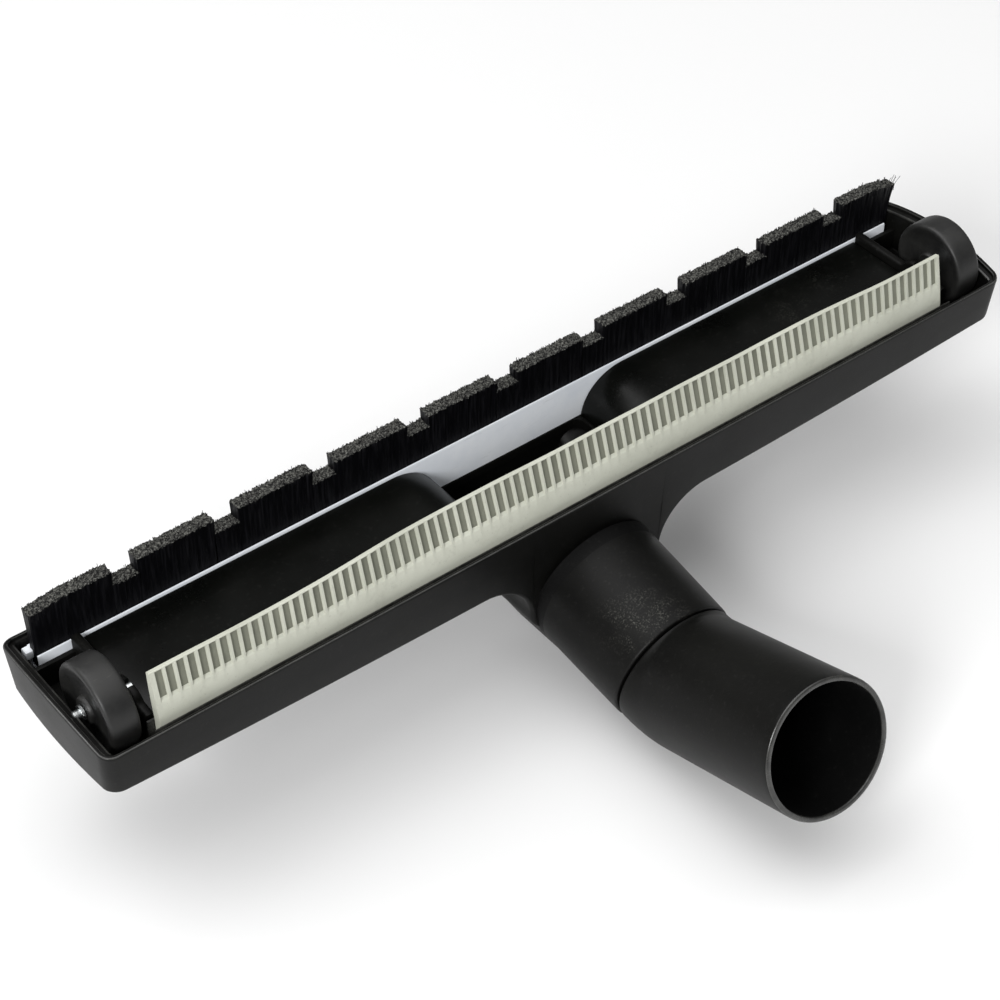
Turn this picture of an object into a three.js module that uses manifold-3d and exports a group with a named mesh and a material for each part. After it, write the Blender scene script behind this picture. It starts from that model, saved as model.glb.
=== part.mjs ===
// Wet and dry vacuum floor nozzle, lying on the crown of its hump with the working face up.
// Millimetres, +Z up, +X along the head, +Y from the neck side to the brush side.
import * as THREE from "three";
import { mergeVertices } from "three/addons/utils/BufferGeometryUtils.js";
import Module from "manifold-3d";

// ---- driving dimensions -------------------------------------------------------------------
const GAP = 0.3; // clearance between pieces that touch on the real object
const RIM = 56.5; // height of the rim of the working face above the crown
const HEAD = { length: 300, depth: 50.5, corner: 5, bow: 0.9, wall: 1.9, endWall: 3.2 };
const TRAY = { back: 17.8, crown: 4, floor: 2.5, draftX: 0.9, draftY: 1.5, endRise: 3 };
const HUMP = { centre: 1, half: 22.3, fillet: 15.5, wall: 2.4, far: 20.5, farSlope: 18 };
const HULL = { x: 18.6, z: 16.3, lowX: 11.2, lowZ: 3.1, turn: 3.4 }; // the hump's sloping sides
const CROWN = { half: 6.5, far: -4, round: 12 }; // flat stretch of the hump that the tool lies on
const THROAT = { centre: 2.5, half: 24.5, near: -17.5, far: 15.6 };
const LIP = { y: -56.2, drop: 36.8, radius: 19.2 }; // centre of the neck's open end
const NECK = { dip: 9.5, root: 20, length: 42, bore: 17, spigot: 16.8, inner: 15, reach: 36 };
const ELBOW = { bend: 30.4, turn: -4.6, radius: 21, outer: 18.9, bore: 17.4, length: 51.2 };
const SWIVEL = { outer: 16.6, bore: 14.8, length: 17, shoulder: 0.6 };
const RING = { inner: 16.1, outer: 17.5, width: 1.6, at: 6, slot: 4 };
const WHEEL = { radius: 12.6, width: 8.2, round: 2, x: 140.8, y: -8.3, rise: 0.9 };
const HUB = { bore: 1.55, radius: 3.6, proud: 0.4 };
const WELL = { margin: 1.2, side: 1, ledge: 4.5, ledgeWidth: 1.4 };
const AXLE = { radius: 1.2, inner: 131.7, outer: 148.6 };
const RIB = { inner: 131.8, outer: 134.2, near: -18, far: 16.4, drop: 0.5, boss: 5, bossRise: 3 };
const PLATE = { drop: 3, end: 131.2, near: -18, far: 16.5, wall: 1.8, nose: 14.2, foot: 0.9 };
const PLATE_RIBS = { count: 3, width: 1.5 };
const CARRIER = { half: 146, near: 16.8, far: 22.4, drop: 1.6 };
const BRISTLE = { near: 17.7, far: 20.7, rise: 12.8, shortRise: 8.2, root: 6 };
const BRUSH = { start: -143.5, end: 145, firstNotch: -116.95, pitch: 29.9, notch: 7.5, notches: 9 };
const BLADE = { start: -132.7, end: 127.8, thick: 2.7, near: -22.2, rise: 15.1, lean: 9 };
const GROOVE = { count: 86, first: -130.1, pitch: 3.009, width: 1.6, depth: 0.7, low: 5.7, high: 14.2 };
const HOLDER = { start: -134.5, end: 131, near: -23, far: -18.4, seat: 10, drop: 1.2 };

const BACK_Z = RIM - TRAY.back; // outside face of the tray's crowned back, at its middle
const FLOOR_Z = BACK_Z + TRAY.floor; // inside face of the tray's back, at its middle
const NEAR_Y = -HEAD.depth / 2 + TRAY.draftY; // near side of the tray's back and of the hump
const WHEEL_Z = RIM + WHEEL.rise;
const BEYOND = 5; // how far a cutting solid reaches past the face it cuts
const LAP = 0.2; // how far two bars of one pipe run into each other
const ROUND_SEGMENTS = 40; // facets round the neck and the elbow
const SMALL_SEGMENTS = 20; // facets round the axles

const rad = THREE.MathUtils.degToRad;

// ---- materials ----------------------------------------------------------------------------
const paint = (color, roughness, metalness) =>
  new THREE.MeshStandardMaterial({ color, roughness, metalness });
const satinBlack = () => paint(0x1b1b1b, 0.5, 0);
const glossBlack = () => paint(0x121312, 0.35, 0);
const whitePlastic = () => paint(0xe4e9ee, 0.4, 0);
const bristleBlack = () => paint(0x0b0b0b, 0.85, 0);
const greyRubber = () => paint(0xc6c7bb, 0.7, 0);
const wheelRubber = () => paint(0x222221, 0.6, 0);
const steel = () => paint(0xb9bcbf, 0.3, 1);

// ---- booleans -----------------------------------------------------------------------------
const wasm = await Module();
wasm.setup();

function toSolid(geometry) {
  const bare = geometry.clone();
  bare.deleteAttribute("normal");
  bare.deleteAttribute("uv");
  const merged = mergeVertices(bare, 1e-4);
  return new wasm.Manifold(
    new wasm.Mesh({
      numProp: 3,
      vertProperties: new Float32Array(merged.attributes.position.array),
      triVerts: new Uint32Array(merged.index.array),
    }),
  );
}

function toGeometry(solid) {
  const mesh = solid.getMesh();
  const geometry = new THREE.BufferGeometry();
  geometry.setAttribute("position", new THREE.BufferAttribute(mesh.vertProperties, 3));
  geometry.setIndex(new THREE.BufferAttribute(mesh.triVerts, 1));
  geometry.computeVertexNormals();
  return geometry;
}

const joined = (solids) => solids.reduce((all, one) => all.add(one));

// ---- shapes -------------------------------------------------------------------------------
function boxBetween(x0, x1, y0, y1, z0, z1) {
  const geometry = new THREE.BoxGeometry(x1 - x0, y1 - y0, z1 - z0);
  return geometry.translate((x0 + x1) / 2, (y0 + y1) / 2, (z0 + z1) / 2);
}

const boxSolid = (...sides) => toSolid(boxBetween(...sides));

// A shape drawn in (x, y), extruded from z0 to z1.
function extrudeUp(shape, z0, z1, curveSegments) {
  const options = { depth: z1 - z0, bevelEnabled: false, curveSegments };
  return new THREE.ExtrudeGeometry(shape, options).translate(0, 0, z0);
}

// A shape drawn in (x, z), extruded from y0 to y1.
function extrudeDeep(shape, y0, y1, curveSegments) {
  const options = { depth: y1 - y0, bevelEnabled: false, curveSegments };
  return new THREE.ExtrudeGeometry(shape, options).rotateX(Math.PI / 2).translate(0, y1, 0);
}

// A shape drawn in (y, z), extruded from x0 to x1.
function extrudeAlong(shape, x0, x1, curveSegments) {
  const options = { depth: x1 - x0, bevelEnabled: false, curveSegments };
  const geometry = new THREE.ExtrudeGeometry(shape, options);
  return geometry.rotateX(Math.PI / 2).rotateZ(Math.PI / 2).translate(x0, 0, 0);
}

// A profile of [radius, distance] pairs, turned about +Y.
function turned(profile, segments) {
  const points = profile.map(([radius, along]) => new THREE.Vector2(radius, along));
  return new THREE.LatheGeometry(points, segments);
}

// The same, turned about +X.
const turnedAlongX = (profile, segments) => turned(profile, segments).rotateZ(-Math.PI / 2);

// The profile of a plain round bar.
const rod = (radius, from, to) => [
  [0, from],
  [radius, from],
  [radius, to],
  [0, to],
];

// ---- housing ------------------------------------------------------------------------------
// The head's plan outline, with rounded corners and slightly bowed ends.
function headOutline(inset, endInset) {
  const x = HEAD.length / 2 - endInset;
  const y = HEAD.depth / 2 - inset;
  const corner = HEAD.corner - inset;
  const bulge = x + 2 * HEAD.bow;
  const shape = new THREE.Shape();
  shape.moveTo(-x + corner, -y);
  shape.lineTo(x - corner, -y);
  shape.quadraticCurveTo(x, -y, x, -y + corner);
  shape.quadraticCurveTo(bulge, 0, x, y - corner);
  shape.quadraticCurveTo(x, y, x - corner, y);
  shape.lineTo(-x + corner, y);
  shape.quadraticCurveTo(-x, y, -x, y - corner);
  shape.quadraticCurveTo(-bulge, 0, -x, -y + corner);
  shape.quadraticCurveTo(-x, -y, -x + corner, -y);
  return shape;
}

// The tray narrows towards its back face, as a moulding does.
function draftedTray() {
  const top = RIM + TRAY.endRise + 1;
  const geometry = extrudeUp(headOutline(0, 0), BACK_Z, top, 5);
  const place = geometry.attributes.position;
  for (let i = 0; i < place.count; i++) {
    const below = (2 * (RIM - place.getZ(i))) / TRAY.back;
    place.setX(i, place.getX(i) * (1 - (below * TRAY.draftX) / HEAD.length));
    place.setY(i, place.getY(i) * (1 - (below * TRAY.draftY) / HEAD.depth));
  }
  return toSolid(geometry);
}

// Everything under the crowned back, or under a face that follows it higher up.
function belowBack(lift) {
  const reach = HEAD.length / 2 + BEYOND;
  const level = BACK_Z + lift;
  const crown = TRAY.crown * ((2 * reach) / HEAD.length) ** 2;
  const shape = new THREE.Shape();
  shape.moveTo(-reach, -BEYOND);
  shape.lineTo(reach, -BEYOND);
  shape.lineTo(reach, level + crown);
  shape.quadraticCurveTo(0, level - crown, -reach, level + crown);
  return toSolid(extrudeDeep(shape, -HEAD.depth, HEAD.depth, 16));
}

// A solid cut to stand just clear of the tray's crowned floor.
const onFloor = (solid) => solid.subtract(belowBack(TRAY.floor + GAP));

// Everything above the rim line: level along the sides, arched over the two end walls.
function aboveTheRim() {
  const high = RIM + TRAY.endRise + BEYOND;
  const reach = HEAD.length / 2 + BEYOND;
  const side = HEAD.depth / 2 + BEYOND;
  const inner = HEAD.length / 2 - HEAD.endWall - 1;
  const arch = new THREE.Shape();
  arch.moveTo(-side, high);
  arch.lineTo(-side, RIM);
  arch.lineTo(-HEAD.depth / 2, RIM);
  arch.quadraticCurveTo(0, RIM + 2 * TRAY.endRise, HEAD.depth / 2, RIM);
  arch.lineTo(side, RIM);
  arch.lineTo(side, high);
  const ends = toSolid(extrudeAlong(arch, -reach, reach, 12));
  return ends.add(boxSolid(-inner, inner, -side, side, RIM, high));
}

// The hump's section across the head: a flare under the tray's back, then sides that slope in
// to a flat crown.
function humpSection(inset) {
  const half = HUMP.half - inset;
  const centre = HUMP.half + HUMP.fillet;
  const radius = HUMP.fillet + inset;
  const flare = BACK_Z - HUMP.fillet;
  const side = [HULL.x - inset, HULL.z];
  const low = [HULL.lowX - inset, HULL.lowZ + inset];
  const slope = (HULL.x - HULL.lowX) / (HULL.z - HULL.lowZ);
  const shape = new THREE.Shape();
  shape.moveTo(CROWN.half, inset);
  shape.quadraticCurveTo(low[0] - HULL.lowZ * slope, inset, ...low);
  shape.lineTo(...side);
  const turn = [side[0] + HULL.turn * slope, side[1] + HULL.turn];
  shape.bezierCurveTo(...turn, half, flare - HULL.turn, half, flare);
  shape.absarc(centre, flare, radius, Math.PI, Math.PI / 2, true);
  shape.lineTo(centre, BACK_Z + inset + TRAY.crown);
  shape.lineTo(-centre, BACK_Z + inset + TRAY.crown);
  shape.lineTo(-centre, flare + radius);
  shape.absarc(-centre, flare, radius, Math.PI / 2, 0, true);
  shape.bezierCurveTo(-half, flare - HULL.turn, -turn[0], turn[1], -side[0], side[1]);
  shape.lineTo(-low[0], low[1]);
  shape.quadraticCurveTo(HULL.lowZ * slope - low[0], inset, -CROWN.half, inset);
  return shape;
}

// The hump's side view: level under the crown, then sloping up to the far edge of the back.
function humpSide(inset) {
  const near = NEAR_Y + inset;
  const far = HUMP.far - inset;
  const top = BACK_Z + inset + TRAY.crown;
  const shape = new THREE.Shape();
  shape.moveTo(near, inset);
  shape.lineTo(CROWN.far, inset);
  shape.bezierCurveTo(CROWN.far + CROWN.round, inset, far, HUMP.farSlope, far, BACK_Z - 1);
  shape.lineTo(far, top);
  shape.lineTo(near, top);
  return shape;
}

function humpSolid(inset) {
  const half = HUMP.half + HUMP.fillet + BEYOND;
  const across = toSolid(extrudeDeep(humpSection(inset), -HEAD.depth, HEAD.depth, 7));
  const along = toSolid(extrudeAlong(humpSide(inset), -half, half, 7));
  return across.intersect(along).translate([HUMP.centre, 0, 0]);
}

// The partition between the plate and a wheel well, raised round the axle's inner end.
function rib() {
  const top = RIM - RIB.drop;
  const low = WHEEL.y - RIB.boss;
  const high = WHEEL.y + RIB.boss;
  const boss = new THREE.Shape();
  boss.moveTo(low, top - 1);
  boss.lineTo(high, top - 1);
  boss.lineTo(high, RIM);
  boss.quadraticCurveTo(WHEEL.y, RIM + 2 * RIB.bossRise, low, RIM);
  const wall = boxSolid(RIB.inner, RIB.outer, RIB.near, RIB.far, FLOOR_Z - 1, top);
  return wall.add(toSolid(extrudeAlong(boss, RIB.inner, RIB.outer, 8)));
}

// The slot that an axle drops into, open upwards.
function axleSlot() {
  const half = AXLE.radius + GAP;
  return boxSolid(
    RIB.inner - 1,
    AXLE.outer + GAP,
    WHEEL.y - half,
    WHEEL.y + half,
    WHEEL_Z - half,
    RIM + TRAY.endRise + BEYOND,
  );
}

// The ledge beside a wheel well that keeps the end of the brush carrier in place.
function carrierLedge() {
  const far = CARRIER.near - GAP;
  const end = HEAD.length / 2 - HEAD.endWall + 1;
  return boxSolid(RIB.outer - 1, end, far - WELL.ledgeWidth, far, FLOOR_Z - 1, RIM - WELL.ledge);
}

// The hollow in the tray's floor under a wheel.
function wheelPocket() {
  const half = WHEEL.width / 2 + WELL.side;
  const bar = toSolid(turnedAlongX(rod(WHEEL.radius + WELL.margin, -half, half), 32));
  return bar.translate([WHEEL.x, WHEEL.y, WHEEL_Z]);
}

// A piece turned about +Y with its outer end at 0, put on the neck's axis.
const onNeckAxis = (geometry) =>
  geometry.rotateX(rad(NECK.dip)).translate(0, LIP.y, RIM - LIP.drop);

const neckTurned = (profile) => toSolid(onNeckAxis(turned(profile, ROUND_SEGMENTS)));

function housing() {
  const well = extrudeUp(headOutline(HEAD.wall, HEAD.endWall), FLOOR_Z - 1, RIM + 4 * BEYOND, 5);
  const left = THROAT.centre - THROAT.half;
  const right = THROAT.centre + THROAT.half;
  const mouth = boxSolid(left, right, THROAT.near, THROAT.far, BACK_Z - 1, FLOOR_Z + 1);
  const reach = HEAD.length;
  const nearWall = boxSolid(-reach, reach, -reach, -HEAD.depth / 2 + BEYOND, -1, RIM);
  const socket = neckTurned(rod(NECK.spigot + GAP, 0, NECK.length)).intersect(nearWall);
  const tray = draftedTray().subtract(aboveTheRim()).subtract(belowBack(0));
  const shell = tray.add(humpSolid(0).intersect(belowBack(TRAY.floor / 2)));
  const inside = toSolid(well).subtract(belowBack(TRAY.floor));
  const fittings = joined([rib(), carrierLedge()]).subtract(belowBack(TRAY.floor / 2));
  const cuts = joined([axleSlot(), wheelPocket()]);
  return joined([shell.subtract(inside), fittings, fittings.mirror([1, 0, 0])])
    .subtract(humpSolid(HUMP.wall).intersect(belowBack(0)))
    .subtract(joined([mouth, socket, cuts, cuts.mirror([1, 0, 0])]));
}

// ---- neck ---------------------------------------------------------------------------------
function neckTube() {
  const face = NEAR_Y - 2 * GAP;
  const reach = HEAD.length;
  const sleeve = neckTurned([
    [0, 0],
    [LIP.radius - 0.4, 0],
    [LIP.radius, 0.6],
    [NECK.root, NECK.length],
    [0, NECK.length],
  ]).subtract(boxSolid(-reach, reach, face, reach, -reach, reach));
  const spigot = neckTurned(rod(NECK.spigot, SWIVEL.length, NECK.reach));
  const groove = RING.outer + GAP;
  const step = SWIVEL.length + 1;
  const bore = neckTurned([
    [0, -BEYOND],
    [NECK.bore, -BEYOND],
    [NECK.bore, RING.at - GAP],
    [groove, RING.at - GAP],
    [groove, RING.at + RING.width + GAP],
    [NECK.bore, RING.at + RING.width + GAP],
    [NECK.bore, step],
    [NECK.inner, step + 2],
    [NECK.inner, NECK.length + BEYOND],
    [0, NECK.length + BEYOND],
  ]);
  return sleeve.add(spigot).subtract(bore);
}

// The split ring that holds the elbow's spigot in the neck.
function retainingRing() {
  const ring = turned(
    [
      [RING.inner, RING.at],
      [RING.outer, RING.at],
      [RING.outer, RING.at + RING.width],
      [RING.inner, RING.at + RING.width],
      [RING.inner, RING.at],
    ],
    ROUND_SEGMENTS,
  );
  const half = RING.slot / 2;
  const slot = boxBetween(-half, half, 0, NECK.length, 0, NECK.root);
  return toSolid(onNeckAxis(ring)).subtract(toSolid(onNeckAxis(slot)));
}

// ---- swivel elbow -------------------------------------------------------------------------
// The bend of a round bar on the elbow's own axis: it starts at the shoulder, runs down -Y and
// turns up.
function bentBar(radius) {
  const arc = new THREE.Shape();
  arc.absarc(0, 0, radius, 0, 2 * Math.PI, false);
  const bend = rad(ELBOW.bend);
  class Bend extends THREE.Curve {
    getPoint(t, target = new THREE.Vector3()) {
      const angle = bend * t;
      const down = -SWIVEL.shoulder - ELBOW.radius * Math.sin(angle);
      return target.set(0, down, ELBOW.radius * (1 - Math.cos(angle)));
    }
    getTangent(t, target = new THREE.Vector3()) {
      return target.set(0, -Math.cos(bend * t), Math.sin(bend * t));
    }
  }
  const options = { steps: 6, curveSegments: ROUND_SEGMENTS / 2, extrudePath: new Bend() };
  return toSolid(new THREE.ExtrudeGeometry(arc, options));
}

// A straight round bar whose ends lie "from" and "to" past the end of the bend.
function mouthBar(radius, from, to) {
  const bend = rad(ELBOW.bend);
  const bar = turned(rod(radius, -to, -from), ROUND_SEGMENTS);
  const y = -SWIVEL.shoulder - ELBOW.radius * Math.sin(bend);
  const z = ELBOW.radius * (1 - Math.cos(bend));
  return toSolid(bar.rotateX(-bend).translate(0, y, z));
}

function elbowTube() {
  const bar = (radius, from, to) => toSolid(turned(rod(radius, from, to), ROUND_SEGMENTS));
  const groove = RING.inner - GAP;
  const ringSpace = bar(NECK.bore, RING.at - GAP, RING.at + RING.width + GAP).subtract(
    bar(groove, 0, SWIVEL.length),
  );
  const outside = joined([
    bentBar(ELBOW.outer),
    mouthBar(ELBOW.outer, -LAP, ELBOW.length),
    bar(SWIVEL.outer, -SWIVEL.shoulder - 1, SWIVEL.length),
  ]);
  const passage = joined([
    bentBar(SWIVEL.bore),
    mouthBar(SWIVEL.bore, -LAP, ELBOW.length),
    mouthBar(ELBOW.bore, 2, ELBOW.length + BEYOND),
    bar(SWIVEL.bore, -SWIVEL.shoulder - LAP, SWIVEL.length + BEYOND),
  ]);
  const solid = outside.subtract(passage).subtract(ringSpace);
  return onNeckAxis(toGeometry(solid).rotateY(rad(ELBOW.turn)));
}

// ---- working face -------------------------------------------------------------------------
// The cover plate beside the throat on the +X side; its nose curves down into the throat.
function plate(centre) {
  const top = RIM - PLATE.drop;
  const low = FLOOR_Z + GAP;
  const foot = centre + THROAT.half + PLATE.foot;
  const flat = foot + PLATE.nose;
  const wall = PLATE.wall;
  const shape = new THREE.Shape();
  shape.moveTo(foot, low);
  shape.absellipse(flat, low, PLATE.nose, top - low, Math.PI, Math.PI / 2, true);
  shape.lineTo(PLATE.end, top);
  shape.lineTo(PLATE.end, low);
  shape.lineTo(PLATE.end - wall, low);
  shape.lineTo(PLATE.end - wall, top - wall);
  shape.lineTo(flat, top - wall);
  shape.absellipse(flat, low, PLATE.nose - wall, top - low - wall, Math.PI / 2, Math.PI, false);
  const cover = toSolid(extrudeDeep(shape, PLATE.near, PLATE.far, 10));
  const spacing = (PLATE.end - wall - flat) / (PLATE_RIBS.count + 1);
  const ribs = [];
  for (let i = 1; i <= PLATE_RIBS.count; i++) {
    const x = flat + i * spacing;
    ribs.push(boxSolid(x, x + PLATE_RIBS.width, PLATE.near, PLATE.far, low, top - wall / 2));
  }
  return onFloor(joined([cover, ...ribs]));
}

function brushCarrier() {
  const top = RIM - CARRIER.drop;
  const low = FLOOR_Z + GAP;
  const body = boxSolid(-CARRIER.half, CARRIER.half, CARRIER.near, CARRIER.far, low, top);
  const slot = boxSolid(
    BRUSH.start - GAP,
    BRUSH.end + GAP,
    BRISTLE.near - GAP,
    BRISTLE.far + GAP,
    top - BRISTLE.root,
    top + 1,
  );
  return onFloor(body.subtract(slot));
}

function tuft(start, end, rise) {
  const low = RIM - CARRIER.drop - BRISTLE.root + GAP;
  return boxBetween(start, end, BRISTLE.near, BRISTLE.far, low, RIM + rise);
}

// The leaning blade, with a straight foot that stands in the holder.
function squeegee() {
  const foot = RIM - HOLDER.seat + GAP;
  const lean = Math.tan(rad(BLADE.lean));
  const tip = BLADE.near + BLADE.rise * lean;
  const shape = new THREE.Shape();
  shape.moveTo(BLADE.near, foot);
  shape.lineTo(BLADE.near + BLADE.thick, foot);
  shape.lineTo(BLADE.near + BLADE.thick, RIM);
  shape.lineTo(tip + BLADE.thick, RIM + BLADE.rise - BLADE.thick * lean);
  shape.lineTo(tip, RIM + BLADE.rise);
  shape.lineTo(BLADE.near, RIM);
  const blade = toSolid(extrudeAlong(shape, BLADE.start, BLADE.end, 1));
  return blade.subtract(grooveComb());
}

// All the grooves of the blade's near face as one comb.
function grooveComb() {
  const start = GROOVE.first - GROOVE.width / 2;
  const comb = new THREE.Shape();
  comb.moveTo(start, -BEYOND);
  for (let i = 0; i < GROOVE.count; i++) {
    const x = start + i * GROOVE.pitch;
    comb.lineTo(x, -1);
    comb.lineTo(x, GROOVE.depth);
    comb.lineTo(x + GROOVE.width, GROOVE.depth);
    comb.lineTo(x + GROOVE.width, -1);
  }
  comb.lineTo(start + (GROOVE.count - 1) * GROOVE.pitch + GROOVE.width, -BEYOND);
  const geometry = extrudeUp(comb, GROOVE.low, GROOVE.high, 1);
  return toSolid(geometry.rotateX(-rad(BLADE.lean)).translate(0, BLADE.near, RIM));
}

function squeegeeHolder() {
  const low = FLOOR_Z + GAP;
  const top = RIM - HOLDER.drop;
  const body = boxSolid(HOLDER.start, HOLDER.end, HOLDER.near, HOLDER.far, low, top);
  const slot = boxSolid(
    HOLDER.start - 1,
    HOLDER.end + 1,
    BLADE.near - GAP,
    BLADE.near + BLADE.thick + GAP,
    RIM - HOLDER.seat,
    top + 1,
  );
  return onFloor(body.subtract(slot));
}

// ---- wheels -------------------------------------------------------------------------------
function wheel() {
  const half = WHEEL.width / 2;
  const shoulder = half - WHEEL.round;
  const hub = half + HUB.proud;
  const inner = WHEEL.radius - WHEEL.round;
  const soft = WHEEL.round * 0.7;
  return turnedAlongX(
    [
      [HUB.bore, -hub],
      [HUB.radius, -hub],
      [HUB.radius, -half],
      [inner, -half],
      [inner + soft, -shoulder - soft],
      [WHEEL.radius, -shoulder],
      [WHEEL.radius, shoulder],
      [inner + soft, shoulder + soft],
      [inner, half],
      [HUB.radius, half],
      [HUB.radius, hub],
      [HUB.bore, hub],
      [HUB.bore, -hub],
    ],
    36,
  );
}

const axle = () => turnedAlongX(rod(AXLE.radius, AXLE.inner, AXLE.outer), SMALL_SEGMENTS);

// ---- assembly -----------------------------------------------------------------------------
const group = new THREE.Group();

function put(name, geometry, material) {
  const mesh = new THREE.Mesh(geometry, material);
  mesh.name = name;
  group.add(mesh);
  return mesh;
}

put("housing", toGeometry(housing()), satinBlack());
put("neck_tube", toGeometry(neckTube()), satinBlack());
put("retaining_ring", toGeometry(retainingRing()), steel());
put("elbow_tube", elbowTube(), satinBlack());
put("plate_right", toGeometry(plate(THROAT.centre)), glossBlack());
put("plate_left", toGeometry(plate(-THROAT.centre).mirror([1, 0, 0])), glossBlack());
put("brush_carrier", toGeometry(brushCarrier()), whitePlastic());
put("squeegee_holder", toGeometry(squeegeeHolder()), satinBlack());
put("squeegee", toGeometry(squeegee()), greyRubber());

const notchMiddle = (i) => BRUSH.firstNotch + i * BRUSH.pitch;
for (let i = 0; i <= BRUSH.notches; i++) {
  const label = String(i + 1).padStart(2, "0");
  const half = BRUSH.notch / 2;
  const start = i === 0 ? BRUSH.start : notchMiddle(i - 1) + half;
  const end = i === BRUSH.notches ? BRUSH.end : notchMiddle(i) - half;
  put("tuft_long_" + label, tuft(start, end, BRISTLE.rise), bristleBlack());
  if (i < BRUSH.notches) {
    const low = notchMiddle(i) - half + GAP;
    const high = notchMiddle(i) + half - GAP;
    put("tuft_short_" + label, tuft(low, high, BRISTLE.shortRise), bristleBlack());
  }
}

for (const [name, side] of [
  ["left", -1],
  ["right", 1],
]) {
  const tyre = put("wheel_" + name, wheel(), wheelRubber());
  tyre.position.set(side * WHEEL.x, WHEEL.y, WHEEL_Z);
  const pin = put("axle_" + name, axle(), steel());
  pin.position.set(0, WHEEL.y, WHEEL_Z);
  pin.rotation.z = side > 0 ? 0 : Math.PI;
}

// The origin is the bottom centre of the whole tool.
const extent = new THREE.Box3().setFromObject(group, true);
group.position.set(
  -(extent.min.x + extent.max.x) / 2,
  -(extent.min.y + extent.max.y) / 2,
  -extent.min.z,
);

export default group;
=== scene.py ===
import math
import random

import bmesh
import bpy
import numpy as np
from mathutils import Matrix, Vector
from mathutils.geometry import tessellate_polygon


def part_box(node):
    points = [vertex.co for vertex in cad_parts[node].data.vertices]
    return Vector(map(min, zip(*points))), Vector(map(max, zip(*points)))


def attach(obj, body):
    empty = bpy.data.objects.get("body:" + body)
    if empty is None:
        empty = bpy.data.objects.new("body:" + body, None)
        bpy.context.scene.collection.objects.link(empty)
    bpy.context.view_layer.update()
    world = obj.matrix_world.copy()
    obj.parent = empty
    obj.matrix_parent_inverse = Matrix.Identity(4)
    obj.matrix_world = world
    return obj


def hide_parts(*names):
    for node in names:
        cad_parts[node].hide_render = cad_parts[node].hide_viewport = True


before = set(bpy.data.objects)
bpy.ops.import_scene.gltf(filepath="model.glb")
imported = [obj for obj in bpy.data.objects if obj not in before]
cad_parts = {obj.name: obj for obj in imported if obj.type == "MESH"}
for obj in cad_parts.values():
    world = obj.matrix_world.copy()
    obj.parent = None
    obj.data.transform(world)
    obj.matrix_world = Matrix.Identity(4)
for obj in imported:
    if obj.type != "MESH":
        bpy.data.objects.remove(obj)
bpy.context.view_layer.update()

# Sizes are in millimetres from the middle of the head at the height of its rim:
# x along the head, y from the neck side to the brush side, z out of the working face.
house_lo, house_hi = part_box("housing")
HEAD_Y = 500 * (house_lo.y + house_hi.y)
RIM = 56.5
HALF_X = 150.0
HALF_Y = 25.25
# The outer lip of the neck, and how far the neck's axis dips from level.
LIP_Y = -56.2
LIP_Z = -36.8
DIP = math.radians(9.5)
WHEEL = (140.8, -8.3, 0.9)
rng = random.Random(7)


def place(p):
    """Millimetres in the head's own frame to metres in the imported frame."""
    return (p[0] / 1000, (p[1] + HEAD_Y) / 1000, (p[2] + RIM) / 1000)


def smoothstep(a, b, v):
    """0 below a, 1 above b and a smooth rise between them."""
    t = min(1.0, max(0.0, (v - a) / (b - a)))
    return t * t * (3 - 2 * t)


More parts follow.
